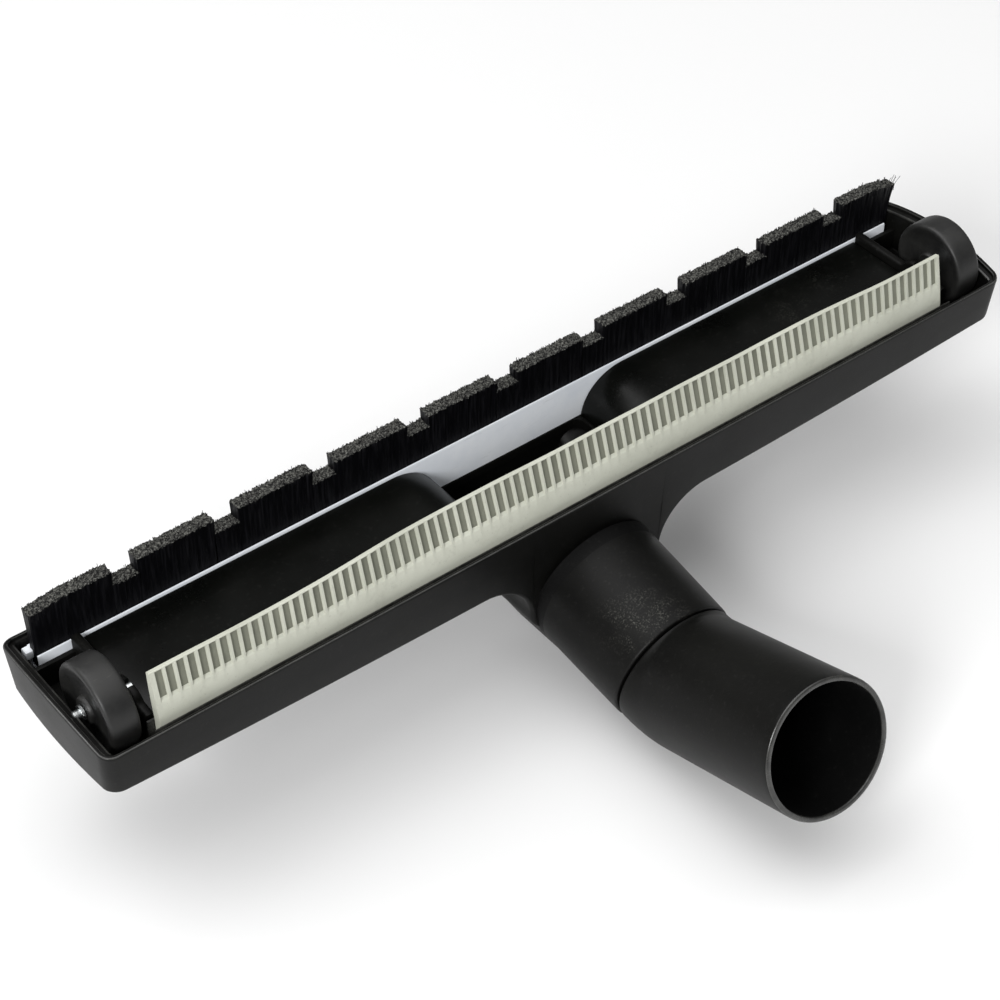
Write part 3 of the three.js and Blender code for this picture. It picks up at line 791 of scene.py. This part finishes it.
def elbow_frame(along):
    """A point of the elbow's centre line, with its sideways and upright directions.

    0 is where the bend starts, and a negative distance runs into the neck.
    """
    angle = min(max(along, 0.0) / BEND_RADIUS, BEND)
    run = min(along, 0.0) + max(along - BEND_LENGTH, 0.0)
    local = Vector(
        (
            0,
            -SHOULDER - BEND_RADIUS * math.sin(angle) - run * math.cos(angle),
            BEND_RADIUS * (1 - math.cos(angle)) + run * math.sin(angle),
        )
    )
    upright = Vector((0, math.sin(angle), math.cos(angle)))
    side = Vector((1, 0, 0))
    turn = Matrix.Rotation(DIP, 3, "X") @ Matrix.Rotation(TURN, 3, "Y")
    origin = turn @ local + Vector((0, LIP_Y, LIP_Z))
    return origin, turn @ side, turn @ upright


def build_elbow():
    s = Shape()
    end = BEND_LENGTH + STRAIGHT
    rows = [(-17.6, 15.1), (-17.6, 16.2), (-17.2, 16.6), (-9, 16.6), (-0.3, 16.6)]
    rows += [(0.0, 16.9), (0.0, 18.2), (0.12, 18.55), (0.45, 18.8), (1.0, 18.9)]
    rows += [(1.0 + (BEND_LENGTH - 1.0) * i / 10, 18.9) for i in range(1, 11)]
    rows += [(BEND_LENGTH + STRAIGHT * f, 18.9 + 0.12 * f) for f in (0.15, 0.4, 0.65, 0.85, 0.95)]
    rows += [(end - 0.7, 19.02), (end - 0.35, 18.97), (end - 0.1, 18.8), (end, 18.5)]
    rows += [(end, 17.85), (end - 0.1, 17.6), (end - 0.4, 17.43), (end - 0.8, 17.38)]
    rows += [(BEND_LENGTH + STRAIGHT * f, 17.35) for f in (0.8, 0.5, 0.2)]
    rows += [(BEND_LENGTH + 2.2, 17.35), (BEND_LENGTH + 2.0, 17.1), (BEND_LENGTH + 1.9, 15.1)]
    rows += [(BEND_LENGTH + 1.6, 14.85)]
    rows += [(BEND_LENGTH * i / 6, 14.8) for i in range(6, -1, -1)]
    rows += [(-17.3, 14.8)]
    close_loft(s, [ring_at(*elbow_frame(along), radius, TUBE_STEPS) for along, radius in rows])
    lip = next(i for i, row in enumerate(rows) if row[0] > end - 0.5)
    inside = next(i for i, row in enumerate(rows) if i > lip and row[1] < 17.5)
    # The mouth's lip rows take the edge material, a painted highlight round the mouth; the rows
    # inside take the shaded bore.
    for i in range(len(s.faces)):
        row = i // TUBE_STEPS
        s.slots[i] = 1 if lip <= row < inside else 2 if inside <= row < len(rows) - 1 else 0
    return s.piece("elbow_moulding", [SATIN, EDGE_HIGHLIGHT, INSIDE], "elbow", "elbow_tube", "satin_black")


# ---- plates -------------------------------------------------------------------------------
def end_name(side):
    return "right" if side > 0 else "left"


def build_plate(side):
    """The cover plate beside the throat; its nose curves down into the throat."""
    s = Shape()
    foot = 27.9 if side > 0 else 22.9
    end = 131.2
    top = -2.4
    foot_z = back(foot) + SKIN + 0.2
    nose_x, nose_z = 14.2, top - foot_z
    profile = []
    for i in range(17):
        a = math.radians(180 - 90 * i / 16)
        profile.append((foot + nose_x + nose_x * math.cos(a), foot_z + nose_z * math.sin(a)))
    profile += [(foot + nose_x + (end - 0.5 - foot - nose_x) * i / 12, top) for i in range(1, 13)]
    profile += [(end - 0.15, top - 0.12), (end, top - 0.5), (end, back(end) + SKIN + 0.2)]
    near, far, edge = -18.2, 16.5, 0.5
    stations = [(near, edge * 3), (near, edge), (near + edge * 0.3, edge * 0.3)]
    stations += [(near + edge, 0.0), (-4.0, 0.0), (8.0, 0.0), (far - edge, 0.0)]
    stations += [(far - edge * 0.3, edge * 0.3), (far, edge), (far, edge * 6)]
    rows = []
    for y, drop in stations:
        row = []
        for i, (px, pz) in enumerate(profile):
            sink = drop * (1 if pz > foot_z + 2 else 0.2)
            row.append((side * px, y, pz - sink))
        rows.append(row)
    if side < 0:
        rows = [list(reversed(r)) for r in rows]
    s.loft(rows, closed=False)
    which = end_name(side)
    made = s.piece("plate_moulding_" + which, [GLOSS], "head", "plate_" + which, "gloss_black")
    solid = made.modifiers.new("wall", "SOLIDIFY")
    solid.thickness = 0.0012
    solid.offset = -1
    return made


# ---- brush --------------------------------------------------------------------------------
TALL = 12.7
SHORT = 8.2
NOTCHES = 9
PITCH = 29.9
FIRST_NOTCH = -116.95
NOTCH = 7.5
BRUSH_START = -143.5
BRUSH_END = 145.0
# How far each long tuft is worn down from its full height, from left to right.
WORN = (0.0, 0.0, 0.0, 0.8, 1.2, 1.4, 0.5, 0.4, 0.7, 0.3)


def tuft_spans():
    """(start, end, top, name) of every tuft, long and short, in order."""
    spans = []
    for i in range(NOTCHES + 1):
        start = BRUSH_START if i == 0 else FIRST_NOTCH + (i - 1) * PITCH + NOTCH / 2
        end = BRUSH_END if i == NOTCHES else FIRST_NOTCH + i * PITCH - NOTCH / 2
        spans.append((start, end, TALL - WORN[i], f"long_{i + 1:02d}"))
        if i < NOTCHES:
            spans.append((end + 0.3, end + NOTCH - 0.3, SHORT, f"short_{i + 1:02d}"))
    return spans


def seated_strip(section, stations):
    """A section (y, z) drawn along the tray; a height of None is just above the tray's back."""
    s = Shape()
    loops = []
    for x in stations:
        seat = back(x) + SKIN + 0.3
        loops.append([(x, y, seat if z is None else z) for y, z in reversed(section)])
    s.loft(loops, cap_first=True, cap_last=True)
    return s


def build_carrier():
    slot_near, slot_far = 17.3, 21.1
    top = -2.1
    section = [(16.8, None), (16.8, top - 0.25), (16.88, top - 0.06), (17.0, top)]
    section += [(slot_near, top), (slot_near, top - 6), (slot_far, top - 6), (slot_far, top)]
    section += [(22.1, top), (22.3, top - 0.08), (22.4, top - 0.3), (22.4, None)]
    stations = [-143.7] + [-143 + 286.5 * i / 24 for i in range(25)] + [144.2]
    s = seated_strip(section, stations)
    for x0, x1 in ((-145.6, -143.5), (144.0, 145.8)):
        add_box(s, x0, x1, 19.4, 21.9, -4.4, -1.9, 0.25)
    return s.piece("brush_strip", [WHITE], "brush", "brush_carrier", "white_plastic")


def add_bristle(s, x, y, z0, z1, radius, lean_x, lean_y):
    """One bristle: a thin three-sided rod in two lengths with a cut end."""
    turn = rng.uniform(0, 2 * math.pi)
    loops = []
    for t in (0.0, 0.55, 1.0):
        cx = x + lean_x * t * t
        cy = y + lean_y * t * t
        z = z0 + (z1 - z0) * t
        r = radius * (1 - 0.12 * t)
        turns = [turn + 2 * math.pi * k / 3 for k in range(3)]
        loops.append([(cx + r * math.cos(a), cy + r * math.sin(a), z) for a in turns])
    s.loft(loops)
    s.add(loops[-1], [(0, 1, 2)], 1)


def tuft_point(u, v, t, start, end, top, outer):
    """A point of a tuft; u runs along it, v across it and t from its root to its top.

    outer is -1 for the tuft at the brush's left end, 1 for the one at its right end, else 0.
    """
    x = start + u * (end - start) + (u - 0.5) * 0.5 * t * t
    y = 17.6 + v * 3.2 + (v - 0.5) * 0.9 * t * t
    z = -7.0 + (top + 7.0) * t
    if outer < 0:
        z -= 1.2 * (1 - smoothstep(0.0, 0.45, u)) * t * t
    if outer > 0:
        far_end = smoothstep(0.55, 1.0, u) * t * t
        x += 2.2 * far_end
        y += 0.4 * far_end
        z -= 2.1 * far_end
    return x, y, z


def build_tuft(start, end, top, name):
    """A tuft: a block with a cut, bristly top, and loose bristles that stand out of it."""
    s = Shape()
    columns = max(8, int((end - start) / 0.36))
    rows = 9
    outer = {"long_01": -1, "long_10": 1}.get(name, 0)
    shape = (start, end, top, outer)
    edge = [(i, 0) for i in range(columns)] + [(columns, j) for j in range(rows)]
    edge += [(i, rows) for i in range(columns, 0, -1)] + [(0, j) for j in range(rows, 0, -1)]
    out = [rng.gauss(0, 0.10) for _ in edge]
    levels = (0.0, 0.36, 0.55, 0.75, 0.9, 1.0)
    loops = []
    for t in levels:
        loop = []
        for (i, j), push in zip(edge, out):
            x, y, z = tuft_point(i / columns, j / rows, t, *shape)
            x += push * (i == columns) - push * (i == 0)
            y += (push + rng.gauss(0, 0.03)) * ((j == rows) - (j == 0)) * (0.4 + 0.6 * t)
            loop.append((x, y, z + (rng.gauss(0, 0.16) - 0.1 if t == 1.0 else 0)))
        loops.append(loop)
    s.loft(loops, cap_first=True)
    ring = dict(zip(edge, loops[-1]))
    grid = []
    for i in range(columns + 1):
        line = []
        for j in range(rows + 1):
            if (i, j) in ring:
                line.append(ring[(i, j)])
                continue
            x, y, z = tuft_point(i / columns, j / rows, 1.0, *shape)
            bump = rng.gauss(0, 0.17) - (0.3 if rng.random() < 0.1 else 0)
            line.append((x + rng.gauss(0, 0.05), y + rng.gauss(0, 0.05), z + bump))
        grid.append(line)
    s.loft(grid, closed=False, slot=1)
    loose = int(columns * 2.2)
    for _ in range(loose):
        u, v = rng.random(), rng.choice((rng.random(), 0.02, 0.98))
        x, y, z = tuft_point(u, v, 1.0, *shape)
        rise = abs(rng.gauss(0, 0.28)) + (0.5 if rng.random() < 0.05 else 0)
        lean = rng.gauss(0, 0.25) + (u > 0.985) * 0.4 - (u < 0.015) * 0.4
        spread = rng.gauss(0, 0.15) + (v - 0.5) * 0.3
        add_bristle(s, x - lean, y - spread, z - 2.2, z + rise, 0.11, lean, spread)
    if outer > 0:
        for drift, rise, across in HAIRS:
            x, y, z = tuft_point(1.0, across, 1.0, *shape)
            add_bristle(s, x - 0.8, y, z - 3.5, z + rise, 0.09, drift, 0.3)
    node = "tuft_" + name
    return s.piece(node + "_bristles", [SIDE, TIP], "brush", node, "bristle", 60)


# Stray hairs at the brush's right end: how far each leans, how far it rises, where it stands.
HAIRS = [(4.1, 0.9, 0.2), (3.6, 0.0, 0.5), (3.0, -0.6, 0.8), (2.2, 1.7, 0.4), (1.6, 2.3, 0.1)]


# ---- squeegee -----------------------------------------------------------------------------
BLADE_START = -132.7
BLADE_END = 127.8
FOOT_Y = -22.2
FOOT_Z = -0.6
TIP_Z = 15.05
GROOVES = 86
GROOVE_FIRST = -130.1
GROOVE_PITCH = 3.009
GROOVE_DEPTH = 0.8
# A groove's section: distance from its middle and share of its depth.
GROOVE_CUT = ((-1.18, 0), (-1.13, 0.12), (-1.08, 0.97), (1.04, 1), (1.12, 0.12), (1.18, 0))


def blade_lean(x):
    """How far the blade's tip stands towards the brush from its foot; it bends along its length."""
    lean = 2.25 + 2.45 * smoothstep(-100, -42, x) - 0.35 * smoothstep(-30, 0, x)
    lean -= 1.45 * smoothstep(78, 110, x)
    return lean + 0.06 * math.sin(x / 13.0) + 0.05 * math.sin(x / 5.1 + 1.0)


def near_face(x, z):
    """The y of the blade's near face, bent more and more towards its tip."""
    up = max(0.0, z - FOOT_Z) / (TIP_Z - FOOT_Z)
    return FOOT_Y + blade_lean(x) * (0.75 * up + 0.25 * up * up)


def build_squeegee():
    s = Shape()
    stations = [(BLADE_START, 0.0), (BLADE_START + 0.25, 0.0)]
    for i in range(GROOVES):
        middle = GROOVE_FIRST + i * GROOVE_PITCH
        stations += [(middle + dx, depth) for dx, depth in GROOVE_CUT]
    stations += [(BLADE_END - 0.25, 0.0), (BLADE_END, 0.0)]
    near = [(-9.5, 0), (FOOT_Z, 0), (2.5, 0), (5.6, 0), (5.75, 0.1), (6.3, 1)]
    near += [(14.5, 1), (14.62, 0.1), (14.7, 0), (14.92, 0)]
    far = [(14.75, 1.3), (14.4, 1.6), (9.0, 2.3), (2.5, 2.7), (FOOT_Z, 2.7), (-9.5, 2.7)]
    loops = []
    for x, cut in stations:
        loop = [(x, near_face(x, z) + GROOVE_DEPTH * cut * share, z) for z, share in near]
        loop.append((x, near_face(x, TIP_Z) + 0.2, TIP_Z))
        loop += [(x, near_face(x, z) + across, z) for z, across in far]
        loops.append(list(reversed(loop)))
    s.loft(loops, cap_first=True, cap_last=True)
    # Groove floors take the darker rubber, painted shade in the grooves.
    for i, face in enumerate(s.faces):
        spots = [s.points[k] for k in face]
        x, y, z = (sum(values) / len(spots) for values in zip(*spots))
        off = (x - GROOVE_FIRST + GROOVE_PITCH / 2) % GROOVE_PITCH - GROOVE_PITCH / 2
        depth = y - near_face(x, z)
        if abs(off) < 1.09 and 6 < z < 14.6 and abs(depth - GROOVE_DEPTH) < 0.1:
            s.slots[i] = 1
    return s.piece("squeegee_blade", [RUBBER, GROOVE_SHADE], "blade", "squeegee", "grey_rubber", 30)


def build_holder():
    top = -1.2
    section = [(-22.95, None), (-22.95, -0.95), (-22.85, -0.75), (-22.6, -0.75), (-22.5, -0.9)]
    section += [(-22.5, -10.0), (-19.2, -10.0), (-19.2, top - 0.15), (-19.1, top)]
    section += [(-18.55, top), (-18.4, top - 0.2), (-18.4, None)]
    s = seated_strip(section, [-134.5 + 265.5 * i / 24 for i in range(25)])
    # The rail takes the lighter edge material: a painted highlight line along its lip.
    return s.piece("squeegee_rail", [EDGE_HIGHLIGHT], "head", "squeegee_holder", "satin_black")


# ---- wheels -------------------------------------------------------------------------------
def build_wheel(side):
    s = Shape()
    half = [(1.55, 4.5), (1.8, 4.6), (3.3, 4.6), (3.6, 4.35), (3.8, 3.6), (5.0, 3.3), (9.0, 3.4)]
    half += [(10.2, 3.75), (11.0, 4.1), (11.45, 4.16), (11.85, 4.08), (12.2, 3.85), (12.42, 3.5)]
    half += [(12.52, 3.0), (12.58, 1.6)]
    profile = [(r, -w) for r, w in half] + [(12.6, 0.0)] + list(reversed(half))
    centre = Vector((side * WHEEL[0], WHEEL[1], WHEEL[2]))
    loops = []
    for radius, along in profile:
        origin = centre + Vector((along, 0, 0))
        loops.append(ring_at(origin, Vector((0, 1, 0)), Vector((0, 0, 1)), radius, 96))
    close_loft(s, loops)
    which = end_name(side)
    body, node = which + "_wheel", "wheel_" + which
    return s.piece("wheel_disc_" + which, [TYRE], body, node, "wheel_rubber")


def build_axle(side):
    s = Shape()
    profile = [(0.0, 131.75), (0.9, 131.75), (1.2, 132.05), (1.2, 145.4)]
    profile += [(1.9, 145.55), (2.05, 145.7), (2.05, 146.2), (1.9, 146.35), (1.2, 146.4)]
    profile += [(1.2, 148.2), (0.9, 148.5), (0.0, 148.5)]
    loops = []
    for radius, along in profile:
        origin = Vector((side * along, WHEEL[1], WHEEL[2]))
        across = Vector((0, side, 0))
        loops.append(ring_at(origin, across, Vector((0, 0, 1)), max(radius, 0.01), 32))
    s.loft(loops, cap_first=True, cap_last=True)
    which = end_name(side)
    return s.piece("axle_pin_" + which, [ZINC], "head", "axle_" + which, "steel")


def build_ring():
    """The split ring inside the neck; its gap is at the top."""
    s = Shape()
    section = [(16.2, 6.0), (17.4, 6.0), (17.5, 6.1), (17.5, 7.5), (17.4, 7.6), (16.2, 7.6)]
    gap = math.asin(2 / 16.8)
    loops = []
    for i in range(73):
        a = math.pi / 2 + gap + (2 * math.pi - 2 * gap) * i / 72
        loops.append([turned(*neck_frame(inwards), radius, a) for radius, inwards in section])
    s.loft(loops, cap_first=True, cap_last=True)
    return s.piece("split_ring", [ZINC], "head", "retaining_ring", "steel")


build_housing()
build_neck()
build_elbow()
build_plate(-1)
build_plate(1)
build_carrier()
for tuft in tuft_spans():
    build_tuft(*tuft)
build_squeegee()
build_holder()
for end in (-1, 1):
    build_wheel(end)
    build_axle(end)
build_ring()

# ---- floor, light, camera -----------------------------------------------------------------
FLOOR_REACH = 6.0
CORNERS = ((-1, -1), (1, -1), (1, 1), (-1, 1))
floor_mesh = bpy.data.meshes.new("floor")
floor_mesh.from_pydata(
    [(x * FLOOR_REACH, y * FLOOR_REACH, 0) for x, y in CORNERS], [], [(0, 1, 2, 3)]
)
floor = bpy.data.objects.new("floor", floor_mesh)
bpy.context.scene.collection.objects.link(floor)
ground = Mat("floor_white")
ground.set(Roughness=0.9)
tone = ground.mix(ground.noise(3, 2, 0.5), (0.80, 0.80, 0.80), (0.83, 0.83, 0.83))
floor_mesh.materials.append(ground.finish(tone))

world_light = bpy.data.worlds.new("studio")
world_light.use_nodes = True
background = world_light.node_tree.nodes["Background"]
background.inputs["Color"].default_value = (1, 1, 1, 1)
background.inputs["Strength"].default_value = 0.30
bpy.context.scene.world = world_light


def area_light(name, at, towards, size, power):
    """A square soft light, in metres and watts."""
    data = bpy.data.lights.new(name, "AREA")
    data.shape = "RECTANGLE"
    data.size = data.size_y = size
    data.energy = power
    lamp = bpy.data.objects.new(name, data)
    bpy.context.scene.collection.objects.link(lamp)
    lamp.location = at
    lamp.rotation_mode = "QUATERNION"
    lamp.rotation_quaternion = (Vector(towards) - Vector(at)).to_track_quat("-Z", "Y")


area_light("overhead", (0.1, -0.1, 2.0), (0, 0, 0), 2.2, 22)
area_light("back", (-0.7, 0.9, 1.7), (0, 0, 0), 1.5, 17)
area_light("key", (-1.25, -0.7, 0.95), (0, 0, 0.04), 0.5, 19)

# The camera looks down along AZIMUTH, turned from +Y towards +X.
AZIMUTH = math.radians(37.43)
ELEVATION = math.radians(42.44)
ROLL = math.radians(0.63)
CAMERA_AT = (-311.44, -389.22, 436.46)
LENS = 89.52
ahead = Vector(
    (
        math.sin(AZIMUTH) * math.cos(ELEVATION),
        math.cos(AZIMUTH) * math.cos(ELEVATION),
        -math.sin(ELEVATION),
    )
)
level = Vector((math.cos(AZIMUTH), -math.sin(AZIMUTH), 0))
upward = level.cross(ahead)
right = level * math.cos(ROLL) - upward * math.sin(ROLL)
upward = right.cross(ahead)
camera_data = bpy.data.cameras.new("camera")
camera_data.lens = LENS
camera_data.sensor_width = 36
camera_data.clip_start = 0.01
camera_data.clip_end = 50
camera = bpy.data.objects.new("camera", camera_data)
bpy.context.scene.collection.objects.link(camera)
spin = Matrix((right, upward, -ahead)).transposed().to_4x4()
camera.matrix_world = Matrix.Translation(place(CAMERA_AT)) @ spin
bpy.context.scene.camera = camera
bpy.context.scene.view_settings.view_transform = "Standard"
